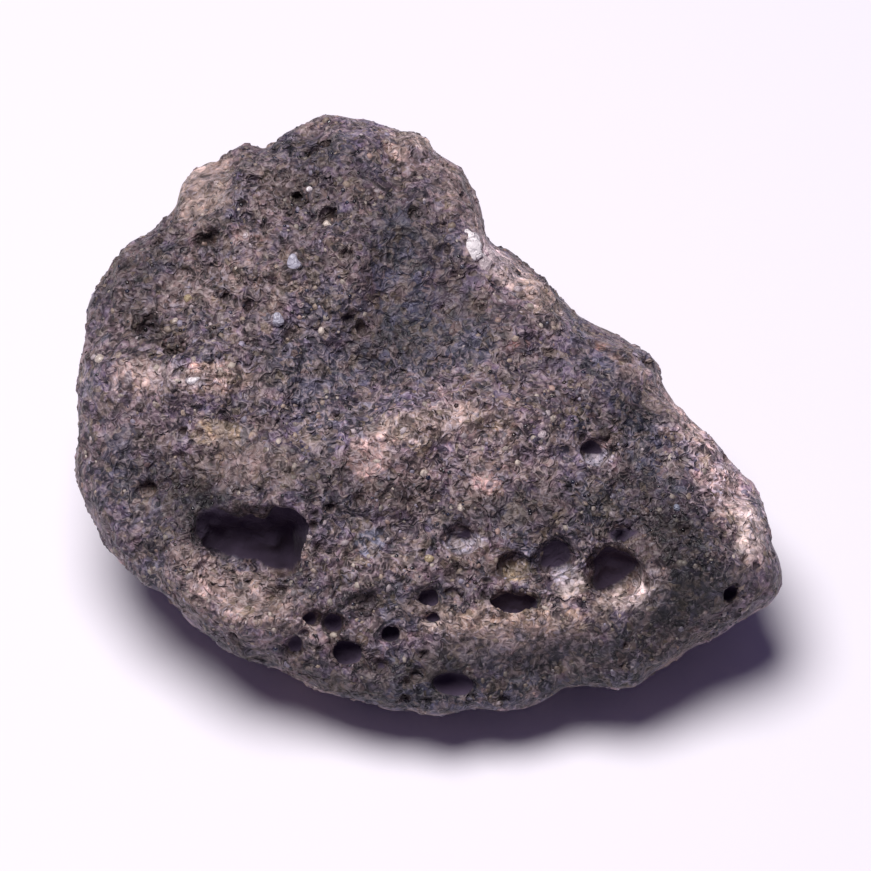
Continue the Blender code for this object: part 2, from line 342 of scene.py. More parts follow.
# The melt's own look. Its crumb comes in two sizes
melt = {
    "coarse": {
        "size": 1.9,  # in mm
        "flakes": (0.56, 1.46),  # the darkest and the lightest flake
        "strokes": (0.58, 0.50),  # the share of pale and of dark ones
        "relief": 0.7,  # of the bump, in mm
    },
    "fine": {"size": 0.88, "flakes": (0.60, 1.42), "strokes": (1.00, 0.80), "relief": 0.4},
    "bands": 5.0,
    "cloud": (0.25, 3.0, 0.6),  # the noises' scale for each mm, detail and roughness
    "bloom": (0.8, 3.0, 0.6),
    "knot": (1.1, 1.0),
    "calmer": 0.42,  # how much of the strokes and knots a calm part loses
    "ragged": 1.4,  # how uneven the edges of the caught patches are
    "patchEdge": (0.28, 0.60),  # where a patch starts to show and covers
    "patchCover": 0.9,
    "patchBare": 0.7,  # how much of the painted shade in hollows a patch keeps off
    "flakeChosen": (0.60, 0.80),  # few flakes are tinted
    "flakeTinted": 0.40,
    "knots": (-0.46, 0.50),  # how much darker and lighter they are
    "paleGamma": 0.56,
    "paleHue": 0.28,
    "darkGamma": 1.45,
    "darkHue": 0.25,
    "lessGreen": 0.94,  # the melt leans to mauve
    # how strong the painted shade in hollows is
    "hollowDark": 0.7,
    "frayed": 0.8,  # how uneven the edges of the painted bubble shade are
    "frayedEdge": (0.30, 0.65),
    "roughness": (0.30, 0.5),  # the least, and how much the bloom adds
    "bubbleShadeRough": 0.45,
    "bubbleShadeSmooth": 0.7,  # how much of the bump the painted bubble shade loses
    "specular": 0.4,
    "sheen": 0.08,
    "sheenRoughness": 0.4,
}


def aroundZero(tree, value, strength):
    # A noise that runs round a half is made to run round nought
    return times(tree, maths(tree, "SUBTRACT", value, 0.5), strength)


def remainder(tree, value, strength):
    return maths(tree, "SUBTRACT", 1.0, times(tree, value, strength))


def makeMelt(crumb):
    material, tree, shader, place = newMaterial("melt")
    sizes = ("coarse", "fine")
    crumbs = {}
    for name in sizes:
        inputs = {"Vector": place, "Size": melt[name]["size"], "Bands": melt["bands"]}
        crumbs[name] = useGroup(tree, crumb, inputs)
    cloud = noiseOf(tree, place, *melt["cloud"])["Fac"]
    bloom = channels(tree, noiseOf(tree, place, *melt["bloom"])["Color"])
    marks = {
        name: addNode(tree, "Attribute", attribute_name=name).outputs
        for name in ("clast", "hollow", "toneAndShading", "bubbleShade", "calm")
    }
    lively = remainder(tree, marks["calm"]["Fac"], melt["calmer"])
    # The melt itself, from slate through violet and mauve to brown
    color = colorRamp(
        tree,
        cloud,
        [
            (0.36, tints["slate"]),
            (0.46, tints["violetGrey"]),
            (0.54, tints["mauve"]),
            (0.64, tints["brownGrey"]),
        ],
    )
    # Patches caught in it, with ragged edges
    ragged = aroundZero(tree, bloom[0], melt["ragged"])
    patch = rampBetween(tree, maths(tree, "ADD", marks["clast"]["Alpha"], ragged), *melt["patchEdge"])
    color = mixColors(tree, times(tree, patch, melt["patchCover"]), color, marks["clast"]["Color"])
    # Each flake is lighter or darker than the next, and some are tinted
    for name in sizes:
        chance = channels(tree, crumbs[name]["Flake"])
        shade = stretch(tree, chance[0], (0.2, 0.8), melt[name]["flakes"])
        color = mixColors(tree, 1.0, color, grey(tree, shade), "MULTIPLY")
        tinted = colorRamp(
            tree,
            chance[1],
            [
                (0.2, tints["beige"]),
                (0.35, tints["pinkBeige"]),
                (0.5, tints["blueGrey"]),
                (0.65, tints["taupe"]),
                (0.8, tints["yellowBeige"]),
            ],
        )
        chosen = rampBetween(tree, chance[2], *melt["flakeChosen"])
        color = mixColors(tree, times(tree, chosen, melt["flakeTinted"]), color, tinted)
    # Knots and hollows of the melt, a millimetre across, lighter and darker
    knots = stretch(tree, noiseOf(tree, place, *melt["knot"])["Fac"], (0.3, 0.7), melt["knots"])
    knots = maths(tree, "ADD", times(tree, knots, lively), 1.0)
    color = mixColors(tree, 1.0, color, grey(tree, knots), "MULTIPLY")
    # Curled strokes, which lift a dark ground more than a pale one, and lean to one hue or another
    paleHue = colorRamp(
        tree,
        bloom[1],
        [
            (0.40, tints["lilac"]),
            (0.49, tints["pinkBeige"]),
            (0.57, tints["beige"]),
            (0.66, tints["yellowBeige"]),
        ],
    )
    darkHue = colorRamp(
        tree, bloom[2], [(0.42, tints["navy"]), (0.5, tints["charcoal"]), (0.58, tints["bark"])]
    )
    for name in sizes:
        paleShare, darkShare = melt[name]["strokes"]
        for mark, share, gamma, hue, hueShare in (
            ("Pale", paleShare, melt["paleGamma"], paleHue, melt["paleHue"]),
            ("Dark", darkShare, melt["darkGamma"], darkHue, melt["darkHue"]),
        ):
            changed = addNode(tree, "Gamma", {"Color": color, "Gamma": gamma}).outputs[0]
            changed = mixColors(tree, hueShare, changed, hue)
            cover = times(tree, times(tree, crumbs[name][mark], share), lively)
            color = mixColors(tree, cover, color, changed)
    # Broad tone of each part of the stone with some painted shade and painted light, and painted shade
    # inside hollows and deeper bubbles
    toneAndShading = marks["toneAndShading"]["Fac"]
    toneAndShading = grey(tree, toneAndShading, times(tree, toneAndShading, melt["lessGreen"]))
    color = mixColors(tree, 1.0, color, toneAndShading, "MULTIPLY")
    # Painted shade: what lies deep, such as the inside of a pit or bubble, is mixed towards bark
    unmarked = remainder(tree, patch, melt["patchBare"])
    shaded = times(tree, times(tree, marks["hollow"]["Fac"], melt["hollowDark"]), unmarked)
    color = mixColors(tree, shaded, color, (*tints["bark"], 1))
    # Painted shade inside the deeper bubbles
    frayed = maths(tree, "ADD", marks["bubbleShade"]["Fac"], aroundZero(tree, bloom[1], melt["frayed"]))
    bubbleShaded = rampBetween(tree, frayed, *melt["frayedEdge"])
    color = mixColors(tree, bubbleShaded, color, (*tints["bubbleShade"], 1))
    tree.links.new(color, shader.inputs["Base Color"])
    least, added = melt["roughness"]
    rough = maths(tree, "ADD", times(tree, bloom[0], added), least)
    rough = maths(tree, "ADD", rough, times(tree, bubbleShaded, melt["bubbleShadeRough"]), clamp=True)
    tree.links.new(rough, shader.inputs["Roughness"])
    # The bump runs round nought, so that it leaves no step where it fades
    bare = maths(tree, "SUBTRACT", lively, times(tree, bubbleShaded, melt["bubbleShadeSmooth"]), clamp=True)
    normal = None
    for name in sizes:
        inputs = {"Height": aroundZero(tree, crumbs[name]["Height"], bare), "Strength": 1.0}
        inputs["Distance"] = melt[name]["relief"] * mm
        if normal is not None:
            inputs["Normal"] = normal
        normal = addNode(tree, "Bump", inputs).outputs[0]
    tree.links.new(normal, shader.inputs["Normal"])
    shader.inputs["Specular IOR Level"].default_value = melt["specular"]
    shader.inputs["Sheen Weight"].default_value = melt["sheen"]
    shader.inputs["Sheen Roughness"].default_value = melt["sheenRoughness"]
    return material


# The stone's fine surface. Lengths are in mm
stone = {
    "voxel": 0.275,
    "evenings": 4,  # rounds of smoothing that take the solid's facets away
    "crags": ((3.2, 0.46), (1.5, 0.32), (0.8, 0.20)),  # spacing and height
    "cragSink": 0.1,  # the share of their height that lies under the solid's surface
    "cragCalm": 0.75,  # how much lower they are where the surface is calm
    "rimCalm": 0.65,  # how calm the rim is
    "rimReach": (0.5, 2.6),  # how far from the rim the calm starts to fade and ends
    "rimPaintedLight": 0.62,  # how much lighter the thin edge of the rim is, as painted light
    "rimLightReach": (0.2, 1.5),
    "flatUnder": 0.05,  # the foot stays as flat as the solid up to this height
    "calmUnder": 0.6,  # the crags are full from this height on, and no small bubble lies lower
    "pitSeed": 11,
    "pitCount": 240,
    "pitRadius": (0.22, 0.60),
    "pitDepth": (0.7, 1.5),  # as a share of the radius
    # where the painted shade inside a small pit starts and is full
    "pitShade": (0.2, 0.8),
    "hollowRounds": 40,  # of smoothing, to tell what lies deep
    "hollowDepth": (0.12, 0.6),  # where the painted shade of a hollow starts and is full
    "bubbleShadeDepth": (0.3, 1.1, 8),  # where the painted shade in a bubble starts, is full and ends
    "bubbleShadeEdge": (0.15, 0.65),
    "faceEdge": (-1.5, 0.5),  # from the hidden sides to the face
    "clastSeed": 5,
    "clastCount": 70,
    "clastRadius": (0.8, 3.2),
    "clastStrength": 1.1,
    "clastLeast": 0.03,  # a weaker patch doesn't show
    "toneAndShading": 0.60,
}

# Small bubbles of the face: x, y, radius, depth
smallPits = (
    (4.0, -12.5, 0.45, 0.9),
    (-8.6, -15.3, 0.40, 0.7),
    (-6.6, -15.6, 0.40, 0.7),
    (-7.6, -16.4, 0.30, 0.4),
    (-1.5, -18.8, 0.32, 0.6),
    (-1.6, -19.9, 0.45, 0.6),
    (-0.1, -20.1, 0.38, 0.7),
    (3.0, -19.9, 0.34, 0.7),
    (5.3, -20.0, 0.40, 0.6),
    (-17.3, -1.2, 0.45, 0.7),
    (-16.1, -1.3, 0.42, 0.5),
    (-14.4, 8.4, 0.40, 0.7),
    (-12.8, 7.6, 0.45, 0.8),
    (-19.4, 12.3, 0.50, 0.6),
    (-5.6, 6.8, 0.45, 0.7),
    (3.8, 7.7, 0.42, 0.7),
    (-8.0, -7.8, 0.42, 0.6),
    (-7.6, -9.3, 0.40, 0.6),
    (22.3, -10.2, 0.36, 0.6),
    (1.3, 11.8, 0.40, 0.5),
    (-0.3, -16.8, 0.36, 0.5),
    (-2.9, 19.1, 0.40, 0.6),
    (-10.3, -12.4, 0.50, 0.6),
    (-11.2, -12.7, 0.55, 0.7),
    (-9.3, 15.5, 0.45, 0.7),
    (-8.7, 15.2, 0.35, 0.6),
    (-11.6, 13.4, 0.40, 0.6),
    (-17.2, 10.2, 0.40, 0.6),
    (-11.0, 9.4, 0.35, 0.6),
    (-9.9, 5.4, 0.35, 0.6),
    (-15.6, 5.6, 0.40, 0.6),
    (-13.2, 15.0, 0.40, 0.6),
)

# Coloured patches of the face: x, y, half length, half width, turn, tint, strength
clasts = (
    (-16.6, 16.6, 2.2, 2.4, 0, "lobe", 1.2),  # the pale lobe
    (-15.2, 17.9, 0.8, 0.5, 30, "peach", 1.0),
    (-2.3, 19.1, 1.1, 0.8, 0, "peach", 0.9),
    (-0.4, 19.6, 1.4, 0.5, -20, "cream", 0.9),
    (-10.6, 16.4, 1.8, 1.4, 0, "taupe", 0.8),
    (1.8, 16.4, 1.8, 2.6, 0, "taupe", 0.7),
    (-16.3, 9.2, 4.6, 1.8, 12, "taupe", 0.8),
    (-11.0, 9.0, 2.4, 1.4, 0, "beige", 0.6),
    (-12.6, 12.6, 2.4, 1.0, 10, "pinkBeige", 0.5),
    (-20.2, 2.8, 2.2, 1.2, 0, "paleTan", 1.1),  # the pale band at the left
    (-18.1, 2.9, 0.8, 0.8, 0, "blueGrey", 1.0),
    (-14.8, 2.6, 2.2, 0.9, -5, "peach", 1.3),
    (-16.4, 2.3, 0.5, 0.3, 0, "white", 1.2),
    (-14.5, -1.4, 2.1, 0.8, 5, "yellowBeige", 0.9),
    (-12.7, -3.6, 3.6, 1.7, 0, "taupe", 0.9),
    (0.2, -0.7, 5.2, 1.3, 9, "beige", 0.9),  # the pale band across the middle
    (3.8, -0.6, 3.0, 1.2, 6, "taupe", 0.8),
    (-4.1, -2.9, 1.2, 1.1, 20, "rose", 1.4),
    (3.9, -5.0, 1.0, 0.8, 10, "rose", 1.4),
    (-4.1, -8.9, 0.9, 0.8, 0, "blueGrey", 1.1),
    (-12.4, -12.9, 4.0, 1.7, -20, "paleTan", 1.0),
    (-16.0, -11.0, 2.2, 1.2, -35, "taupe", 0.8),
    (0.3, -13.6, 1.8, 0.7, -10, "beige", 0.9),
    (5.9, -14.6, 4.8, 1.2, 3, "tan", 1.2),  # the tan band in front
    (13.0, -13.0, 1.4, 0.6, 5, "beige", 1.1),
    (9.5, -11.1, 0.8, 0.7, 32, "blueWhite", 1.0),  # the pale ridge between two bubbles
    (10.4, -11.9, 1.1, 0.7, 32, "cream", 1.2),
    # pale floors of two small bubbles, partly their own colour and partly painted light where they face
    # the lamp
    (2.5, -8.9, 1.0, 0.6, 0, "blueWhite", 1.5),
    (12.0, -3.0, 0.8, 0.5, 0, "blueWhite", 1.5),
    (6.2, -10.9, 0.9, 0.6, 0, "yellowBeige", 1.2),
    (-19.7, -5.4, 0.6, 0.4, 0, "beige", 1.2),
    (0.4, -14.6, 0.9, 0.3, 0, "cream", 1.2),
    (14.6, -12.3, 1.4, 0.9, 32, "cream", 1.8),  # the lip of the right bubble, cream and partly painted light where it faces the lamp
    (6.9, 9.2, 3.2, 1.0, -38, "beige", 0.9),
    (4.6, 11.2, 1.6, 0.8, -42, "pinkWhite", 1.3),  # the pale ground of the notch
    (3.6, 14.2, 0.8, 2.0, 14, "taupe", 1.0),
    (6.3, 5.0, 0.8, 0.4, 10, "rust", 0.9),
    (12.3, 4.8, 1.0, 0.6, -40, "rust", 0.6),
    (14.6, 3.2, 2.4, 1.1, -38, "taupe", 0.6),
    (17.6, 0.0, 2.8, 0.8, -48, "paleTan", 0.9),
    (21.4, -5.8, 3.6, 1.0, -62, "taupe", 0.9),  # the right edge
    (22.7, -8.4, 0.9, 1.5, 0, "cream", 1.4),
    (15.3, 0.3, 1.9, 1.1, -25, "navy", 1.3),  # the darkest part
    (-1.8, 9.0, 1.9, 5.6, 6, "blueSlate", 0.9),  # the blue-grey valley
    (-7.3, 3.2, 4.4, 2.0, 5, "slate", 0.9),
    (-11.3, 0.5, 2.4, 0.6, 0, "violetGrey", 1.1),
    (17.6, -12.6, 3.4, 1.7, 12, "slate", 1.1),
    (6.6, -16.6, 6.6, 1.2, 0, "slate", 1.0),
    (0.2, 4.2, 6.0, 1.8, 12, "blueSlate", 0.8),
    (15.2, -2.6, 1.6, 2.4, 0, "blueSlate", 0.8),
    (3.0, -19.6, 12.0, 1.2, 4, "blueSlate", 0.9),  # the front edge, a bluish painted shade
    (-21.8, -3.0, 1.6, 3.4, 0, "slate", 0.7),
)

# Darker and lighter parts of the face, some their own colour and some painted shade and painted light:
# x, y, half length, half width, turn, how much lighter
toneAndShadingZones = (
    (-20.0, 2.6, 7.0, 1.6, 0, 0.34),  # the pale band at the left
    (-14.6, 2.6, 2.4, 1.0, 0, 0.40),
    (-13.5, -2.8, 4.0, 1.6, 0, 0.12),
    (-11.6, -2.1, 2.8, 0.5, 0, -0.30),
    (2.0, -1.4, 8.5, 2.4, 6, 0.52),  # the pale band across the middle
    (-0.4, 1.0, 2.8, 2.2, 8, 0.34),
    (-9.2, -0.4, 1.8, 1.2, 0, 0.26),
    (-8.4, 5.8, 2.0, 1.6, -30, 0.36),
    (-12.0, 2.4, 1.6, 1.2, 0, -0.26),
    (10.6, 0.8, 2.4, 2.0, 0, -0.20),
    (-4.0, -2.9, 1.4, 1.2, 0, 0.20),
    (3.9, -5.0, 1.2, 1.0, 0, 0.30),
    (5.0, 12.4, 2.0, 2.4, 0, 0.95),  # round the notch
    (2.6, 8.0, 1.8, 1.4, 0, -0.28),
    (0.2, 18.4, 4.2, 1.6, -22, 0.48),
    (-6.0, 20.6, 4.0, 0.9, 8, 0.30),
    (7.2, 9.0, 3.2, 1.2, -38, 0.40),
    (20.9, -4.0, 5.4, 2.0, -58, 1.8),  # the right edge, lightened as painted light where it catches the lamp
    (22.7, -8.4, 1.2, 1.8, 0, 0.35),
    (-15.0, -13.4, 6.5, 2.0, -25, 0.30),  # below the large hollow
    (-17.2, 17.2, 1.6, 2.2, 0, 0.35),  # the pale lobe
    (-6.2, 17.2, 4.6, 2.6, 0, -0.30),
    (-6.5, 5.4, 3.5, 2.4, 20, -0.15),
    (-2.4, 7.5, 5.5, 3.2, 25, -0.12),
    (-21.0, 10.6, 2.4, 3.4, -40, -0.45),
    (-17.4, -4.4, 3.0, 1.5, 0, -0.50),
    (-17.0, -7.6, 3.0, 2.2, 0, -0.40),
    (15.3, 0.2, 2.2, 1.2, -25, -0.70),
    (14.6, 3.4, 2.6, 1.3, -38, 0.36),
    (14.8, -5.4, 4.6, 3.6, -25, -0.25),
    (17.4, -11.0, 3.0, 3.6, 0, -0.50),
    (14.6, -12.3, 1.5, 0.9, 32, 1.70),  # the lip of the right bubble, lightened partly as painted light where it faces the lamp
    (12.6, -11.0, 1.5, 1.3, 0, -0.55),
    (6.9, -9.2, 1.3, 1.0, 0, 0.35),
    (10.9, -9.6, 0.7, 1.1, 0, 0.45),
    (9.9, -11.4, 1.5, 0.7, 20, 0.55),
    # the floors of two small bubbles, lightened partly as painted light where they face the lamp
    (2.5, -8.9, 1.2, 0.7, 0, 0.8),
    (12.0, -3.0, 0.9, 0.6, 0, 0.8),
    (-10.6, -11.3, 3.0, 1.1, -8, -0.40),
    (6.0, -14.5, 4.8, 1.2, 3, 0.52),  # the tan band in front
    (4.0, -18.6, 13.0, 1.6, 4, -0.45),  # the front edge, darkened as painted shade where it faces away from the lamp
    (-8.0, -18.0, 6.0, 1.6, -18, -0.30),
    (-7.0, -4.0, 3.8, 1.5, 0, -0.58),  # the shade above the large hollow
    (-15.2, -5.8, 1.8, 0.9, 0, -0.40),
    (-20.6, -6.2, 1.2, 1.2, 0, 0.25),
    (-17.7, -0.4, 1.6, 1.2, 0, 0.22),
    (-13.8, -7.0, 2.6, 0.8, 0, -0.30),
    (-16.3, -1.8, 1.6, 1.1, 0, 0.40),
    (-7.7, -1.7, 1.8, 1.1, 0, 0.22),
    (-13.6, -10.6, 2.2, 1.2, -20, 0.35),
    (-3.4, -10.2, 2.6, 1.2, 0, 0.30),
    (-2.4, -12.3, 3.4, 1.1, 0, -0.46),
    (-0.6, -14.5, 1.4, 0.8, 0, 0.30),
    (9.4, -13.2, 1.6, 1.0, 10, 0.45),
    (6.6, -6.7, 5.4, 1.6, 0, -0.46),
    (8.4, -3.4, 2.4, 1.2, 10, 0.24),
    (18.0, -7.4, 1.8, 1.4, 0, -0.40),
    (20.6, -11.2, 3.6, 1.8, 0, -0.28),
    (-1.6, 5.2, 3.0, 1.5, 10, -0.42),
    (-6.2, 3.8, 2.4, 1.0, 0, 0.15),
    (-1.8, 13.2, 2.2, 2.0, 0, -0.50),
    (-8.8, 11.0, 1.4, 1.2, 0, -0.40),
    (0.8, 15.4, 2.0, 1.6, 0, 0.16),
    (15.0, -4.4, 1.6, 1.4, 0, -0.25),
    (15.0, -15.2, 4.4, 1.6, 14, -0.52),
    (-12.5, -13.2, 1.6, 0.9, 0, -0.15),
    (-13.6, -17.2, 3.0, 1.2, -30, -0.50),
    (1.0, -17.4, 2.6, 1.2, 0, -0.38),
    (-19.4, -13.4, 3.4, 0.8, -42, -0.35),
    (-19.5, -9.5, 3.0, 3.0, 0, -0.15),
    (-15.8, 12.8, 1.1, 0.8, 10, -0.50),
    (-8.2, 19.2, 1.2, 0.8, 10, -0.45),
    (-18.2, 5.2, 1.3, 0.8, -50, -0.40),
    (-20.0, 6.4, 1.1, 0.9, 0, -0.40),
    (-9.2, 15.4, 0.9, 0.7, 0, -0.40),
)

# Smoother parts of the face: x, y, half length, half width, turn, share
calmZones = (
    (-16.8, 16.6, 1.8, 2.0, 0, 1.0),  # the pale lobe
    (-1.0, 7.5, 8.0, 4.2, 25, 0.8),  # the blue-grey valley
    (0.0, 15.0, 4.0, 4.5, 0, 0.5),
    (13.0, 4.0, 4.5, 2.2, -38, 0.5),
    (14.4, 3.4, 2.2, 1.3, -38, 0.4),
    (6.5, -17.2, 8.0, 1.6, 3, 0.6),
    (15.5, -13.2, 3.4, 2.2, 15, 0.4),
    (24.0, -11.5, 2.6, 3.0, 0, 0.7),
    (-21.8, -2.0, 2.5, 4.5, 0, 0.5),
    (-12.8, -3.4, 4.0, 1.6, 0, 0.4),
    (-13.5, 10.5, 5.5, 6.0, 0, -0.45),  # rougher
)

# Painted shade in the deeper bubbles, dark where little light reaches inside: x, y, half length, half
# width, turn
bubbleShades = (
    (-10.5, -8.3, 2.2, 2.3, 0),  # the large hollow, in three
    (-12.8, -8.2, 3.1, 1.7, -8),
    (-14.9, -8.0, 2.1, 1.3, 0),
    (12.9, -10.1, 2.3, 1.5, 42),
    (13.5, -8.1, 0.8, 0.8, 0),
    (8.8, -9.3, 2.2, 1.2, 20),
    (6.1, -12.9, 2.0, 1.1, 0),
    (2.4, -7.7, 1.5, 0.9, 0),
    (11.9, -1.9, 1.3, 0.8, 0),
    (6.1, -9.8, 1.2, 0.6, 0),
    (-0.1, -12.6, 1.1, 0.8, 0),
    (-2.6, -15.2, 0.9, 0.7, 0),
    (-5.6, -16.6, 1.1, 0.9, 0),
    (1.8, -18.8, 1.7, 0.9, -8),
    (21.4, -12.4, 0.8, 0.8, 0),
    (-8.2, -14.1, 1.0, 0.7, 0),
    (-6.6, -14.5, 1.0, 0.7, -20),
    (-9.4, -16.3, 0.8, 0.9, 0),
    (-3.5, -17.4, 1.0, 0.5, -15),
    (0.2, -14.2, 1.0, 0.6, 0),
    (-0.6, -18.1, 0.7, 0.6, 0),
)

# Patches of the hidden sides are drawn from these
hiddenTints = (
    "taupe",
    "taupe",
    "beige",
    "pinkBeige",
    "slate",
    "slate",
    "blueGrey",
    "brownGrey",
    "yellowBeige",
)


def bellAt(spot, x, y, halfLength, halfWidth, turn):
    # 1 in a patch's middle, a half at its edge and 0 from twice as far on
    across, up = spot.x - x, spot.y - y
    reach = 2 * max(halfLength, halfWidth)
    if abs(across) > reach or abs(up) > reach:
        return 0.0
    angle = math.radians(turn)
    along = (across * math.cos(angle) + up * math.sin(angle)) / halfLength
    aside = (up * math.cos(angle) - across * math.sin(angle)) / halfWidth
    return math.exp(-0.7 * (along * along + aside * aside))


def fineCopy():
    # The solid's triangles are merged, remeshed finely and evened out
    bm = bmesh.new()
    bm.from_mesh(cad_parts["stone"].data)
    bmesh.ops.remove_doubles(bm, verts=bm.verts[:], dist=1e-6)
    mesh = bpy.data.meshes.new("rough")
    bm.to_mesh(mesh)
    bm.free()
    rough = bpy.data.objects.new("rough", mesh)
    bpy.context.scene.collection.objects.link(rough)
    remesh = rough.modifiers.new("Remesh", "REMESH")
    remesh.mode = "VOXEL"
    remesh.voxel_size = stone["voxel"] * mm
    graph = bpy.context.evaluated_depsgraph_get()
    bm = bmesh.new()
    bm.from_mesh(rough.evaluated_get(graph).to_mesh())
    bpy.data.objects.remove(rough)
    evenOut(bm, stone["evenings"])
    return bm


def evenOut(bm, rounds):
    for _ in range(rounds):
        bmesh.ops.smooth_vert(
            bm, verts=bm.verts[:], factor=0.5, use_axis_x=True, use_axis_y=True, use_axis_z=True
        )


def rimShare(spot, near, far):
    # 1 at the rim of the face and 0 well away from it
    return 1 - smoothStep(near, far, abs(spot.z - face["rimSlope"] * spot.y))


def markCalm(bm, calm):
    # Where the surface is smoother: along the rim, and in some parts of the face
    for vert in bm.verts:
        spot = rowToFace @ (vert.co / mm)
        quiet = 0.0
        if spot.z > face["rimSlope"] * spot.y - 1:
            for *zone, share in calmZones:
                quiet += share * bellAt(spot, *zone)
        vert[calm] = min(1.0, quiet + stone["rimCalm"] * rimShare(spot, *stone["rimReach"]))


def roughen(bm, calm):
    # Crags stand along the normals, and fade out at the foot
    bm.normal_update()
    moves = []
    for vert in bm.verts:
        place = vert.co / mm
        height = 0.0
        for spacing, tallest in stone["crags"]:
            height += tallest * (noise.noise(place / spacing) - stone["cragSink"])
        share = smoothStep(stone["flatUnder"], stone["calmUnder"], place.z)
        share *= 1 - stone["cragCalm"] * vert[calm]
        moves.append(vert.normal * height * share * mm)
    for vert, move in zip(bm.verts, moves):
        vert.co += move


def sinkPit(bm, near, hollow, spot, axis, radius, depth):
    # One bubble cut open: a bowl pushed in along its axis, its inside marked for painted shade
    reach = radius * 1.3 * mm  # a little wider than the bowl, since the surface isn't flat
    for _, index, _ in near.find_range(spot, reach):
        vert = bm.verts[index]
        offset = vert.co - spot
        side = (offset - axis * offset.dot(axis)).length / (radius * mm)
        if side < 1 and vert.co.z > stone["calmUnder"] * mm:
            bowl = math.sqrt(1 - side * side)
            vert.co -= axis * bowl * depth * mm
            vert[hollow] = max(vert[hollow], smoothStep(*stone["pitShade"], bowl))


def sinkPits(bm, hollow):
    bm.verts.ensure_lookup_table()
    near = KDTree(len(bm.verts))
    for vert in bm.verts:
        near.insert(vert.co, vert.index)
    near.balance()
    surface = BVHTree.FromBMesh(bm)
    for x, y, radius, depth in smallPits:
        spot, normal = landOn(surface, x, y)
        sinkPit(bm, near, hollow, spot, (normal + faceOut).normalized(), radius, depth)
    draw = random.Random(stone["pitSeed"])
    smallest, largest = stone["pitRadius"]
    for _ in range(stone["pitCount"]):
        vert = bm.verts[draw.randrange(len(bm.verts))]
        radius = smallest + (largest - smallest) * draw.random() ** 3
        depth = radius * draw.uniform(*stone["pitDepth"])
        sinkPit(bm, near, hollow, vert.co.copy(), vert.normal.copy(), radius, depth)


def mouthPlane(surface, x, y, halfLength, halfWidth):
    # The plane of a bubble's mouth, from its rim: the height in the middle, and its slopes across and up
    steps, wider = 8, 1.4
    height, across, up = 0.0, 0.0, 0.0
    for step in range(steps):
        angle = math.tau * step / steps
        right = wider * halfLength * math.cos(angle)
        above = wider * halfWidth * math.sin(angle)
        spot, _ = landOn(surface, x + right, y + above)
        rim = (rowToFace @ (spot / mm)).z
        height += rim / steps
        across += rim * math.cos(angle) / (steps / 2 * wider * halfLength)
        up += rim * math.sin(angle) / (steps / 2 * wider * halfWidth)
    return height, across, up


def depthUnder(plane, place, spot):
    height, across, up = plane
    return height + across * (spot.x - place[0]) + up * (spot.y - place[1]) - spot.z


def markBubbleShades(bm, bubbleShade):
    surface = BVHTree.FromBMesh(bm)
    mouths = [(place, mouthPlane(surface, *place[:4])) for place in bubbleShades]
    shallow, full, deepest = stone["bubbleShadeDepth"]
    for vert in bm.verts:
        spot = rowToFace @ (vert.co / mm)
        for place, plane in mouths:
            deep = depthUnder(plane, place, spot)
            if shallow < deep < deepest:
                inside = smoothStep(*stone["bubbleShadeEdge"], bellAt(spot, *place))
                vert[bubbleShade] = max(vert[bubbleShade], inside * smoothStep(shallow, full, deep))


def markRecessShade(bm, hollow):
    # What lies deeper than its surroundings is marked for painted shade, such as the inside of a bubble
    worn = bm.copy()
    evenOut(worn, stone["hollowRounds"])
    worn.verts.ensure_lookup_table()
    for vert in bm.verts:
        depth = (worn.verts[vert.index].co - vert.co).dot(vert.normal) / mm
        vert[hollow] = max(vert[hollow], smoothStep(*stone["hollowDepth"], depth))
    worn.free()


def blendPatch(color, cover, tint, share):
    # One more patch over those that are there, and the cover of both
    if share <= stone["clastLeast"]:
        return color, cover
    return color.lerp(Vector(tints[tint]), share / (share + cover)), max(cover, share)


def markClasts(bm, clast, toneAndShading):
    # Named patches on the face and drawn ones on the hidden sides, and the tone of each part with its
    # painted shade and painted light
    draw = random.Random(stone["clastSeed"])
    hidden = []
    for _ in range(stone["clastCount"]):
        vert = bm.verts[draw.randrange(len(bm.verts))]
        radius = draw.uniform(*stone["clastRadius"]) * mm
        hidden.append((vert.co.copy(), radius, draw.choice(hiddenTints)))
    for vert in bm.verts:
        spot = rowToFace @ (vert.co / mm)
        front = smoothStep(*stone["faceEdge"], spot.z - face["rimSlope"] * spot.y)
        color = Vector((0.1, 0.1, 0.1))
        cover = 0.0
        if front > 0:
            for *patch, tint, strength in clasts:
                color, cover = blendPatch(color, cover, tint, front * strength * bellAt(spot, *patch))
        if front < 1:
            for middle, radius, tint in hidden:
                fading = math.exp(-((vert.co - middle).length / radius) ** 2)
                share = (1 - front) * stone["clastStrength"] * fading
                color, cover = blendPatch(color, cover, tint, share)
        vert[clast] = (*color, min(1.0, cover))
        # Painted light along the thin edge of the rim
        lift = stone["rimPaintedLight"] * rimShare(spot, *stone["rimLightReach"])
        for *zone, lighter in toneAndShadingZones:
            lift += front * lighter * bellAt(spot, *zone)
        vert[toneAndShading] = stone["toneAndShading"] * (1 + lift)


def buildStone(material):
    bm = fineCopy()
    print("stone remeshed:", len(bm.verts), "points")
    hollow = bm.verts.layers.float.new("hollow")
    toneAndShading = bm.verts.layers.float.new("toneAndShading")
    bubbleShade = bm.verts.layers.float.new("bubbleShade")
    calm = bm.verts.layers.float.new("calm")
    clast = bm.verts.layers.float_color.new("clast")
    markCalm(bm, calm)
    roughen(bm, calm)
    bm.normal_update()
    sinkPits(bm, hollow)
    bm.normal_update()
    markRecessShade(bm, hollow)
    markBubbleShades(bm, bubbleShade)
    markClasts(bm, clast, toneAndShading)
    print("stone roughened, pitted and marked")
    return newObject("stoneSurface", bm, material)


